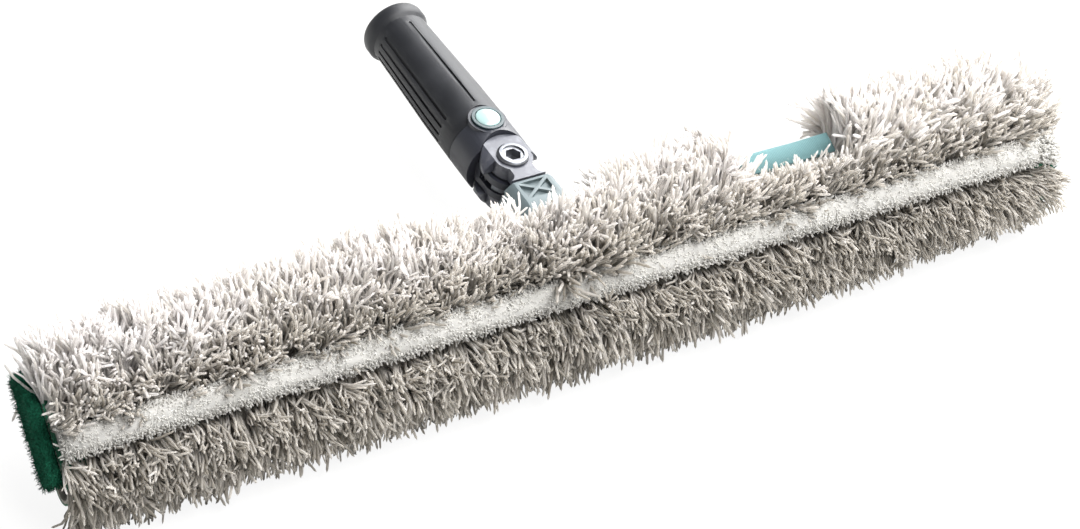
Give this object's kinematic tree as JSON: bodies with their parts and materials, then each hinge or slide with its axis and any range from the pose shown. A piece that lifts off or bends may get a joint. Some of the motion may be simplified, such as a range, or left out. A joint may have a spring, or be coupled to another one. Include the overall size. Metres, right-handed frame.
{
  "type": "window scrubber",
  "caption": "T-bar window scrubber: a furry pile sleeve with a white stripe on a flat bar, and a swivelling rubber-gripped handle with a push-button lock and pole socket.",
  "frame": {"origin": "middle of the whole tool's box in X and Y, at the level of the surface that the sleeve stands on", "axes": "+X along the bar, +Y along the handle towards its free end and out of its pole socket, +Z out of the front face, which holds the pivot screw and the button"},
  "size_m": [0.48, 0.1984, 0.0619],
  "materials": {
    "moulded_bar": "moulded polypropylene, fine spark texture",
    "plug_plastic": "moulded polyethylene",
    "ear_lacquer": "grey lacquer on die-cast zinc, satin",
    "plate_steel": "stamped stainless steel",
    "bright_steel": "turned stainless steel, bright",
    "zinc_steel": "zinc-plated steel",
    "acetal": "natural acetal",
    "backing_cloth": "woven polyester backing",
    "grey_pile": "tufted microfibre and acrylic pile, grey-brown with off-white strands",
    "white_pile": "tufted white abrasive pile, cut shorter",
    "scouring_fleece": "green non-woven scouring fleece",
    "binding_tape": "woven binding tape",
    "loop_tape": "loop half of the closure",
    "hook_tape": "hook half of the closure",
    "tab_tape": "woven pale teal tape, folded",
    "handle_nylon": "glass-filled nylon, satin",
    "grip_rubber": "moulded thermoplastic rubber, satin",
    "bezel_plastic": "moulded ABS, dark teal",
    "button_plastic": "moulded ABS, pale teal",
    "spring_steel": "music wire"
  },
  "bodies": {
    "tool": {"t_bar": "moulded_bar", "end_plug_left": "plug_plastic", "end_plug_right": "plug_plastic", "front_ear": "ear_lacquer", "back_ear": "ear_lacquer", "index_plate": "plate_steel", "pivot_screw": "bright_steel", "pivot_nut": "bright_steel", "friction_washers": "acetal", "neck_screws": "zinc_steel", "sleeve_backing": "backing_cloth", "pile_wrap": "grey_pile", "stripe_pile": "white_pile", "end_pad_left": "scouring_fleece", "end_pad_right": "scouring_fleece", "end_binding_left": "binding_tape", "end_binding_right": "binding_tape", "closure_loop_strip": "loop_tape", "closure_hook_strip": "hook_tape", "loop_tab": "tab_tape"},
    "handle": {"handle_body": "handle_nylon", "pivot_bush": "acetal", "rubber_grip": "grip_rubber", "button_bezel": "bezel_plastic", "button_spring": "spring_steel"},
    "button": {"lock_button": "button_plastic"},
    "slide": {"lock_slide": "plate_steel"}
  },
  "joints": [
    {"name": "handle_swivel", "type": "hinge", "parent": "tool", "child": "handle", "pos_m": [0, -0.0018, 0.03071], "axis": [0, 0, 1], "range_deg": [-90, 90]},
    {"name": "button_press", "type": "slide", "parent": "handle", "child": "button", "axis": [0, 0, -1], "range_m": [0, 0.0025], "stiffness_N_per_m": 800, "springref_m": -0.002, "deforming": ["button_spring"]},
    {"name": "slide_engage", "type": "slide", "parent": "handle", "child": "slide", "axis": [0, -1, 0], "range_m": [0, 0.0025]}
  ],
  "couplings": [
    {"joint": "slide_engage", "follows": "button_press", "ratio": 1}
  ]
}
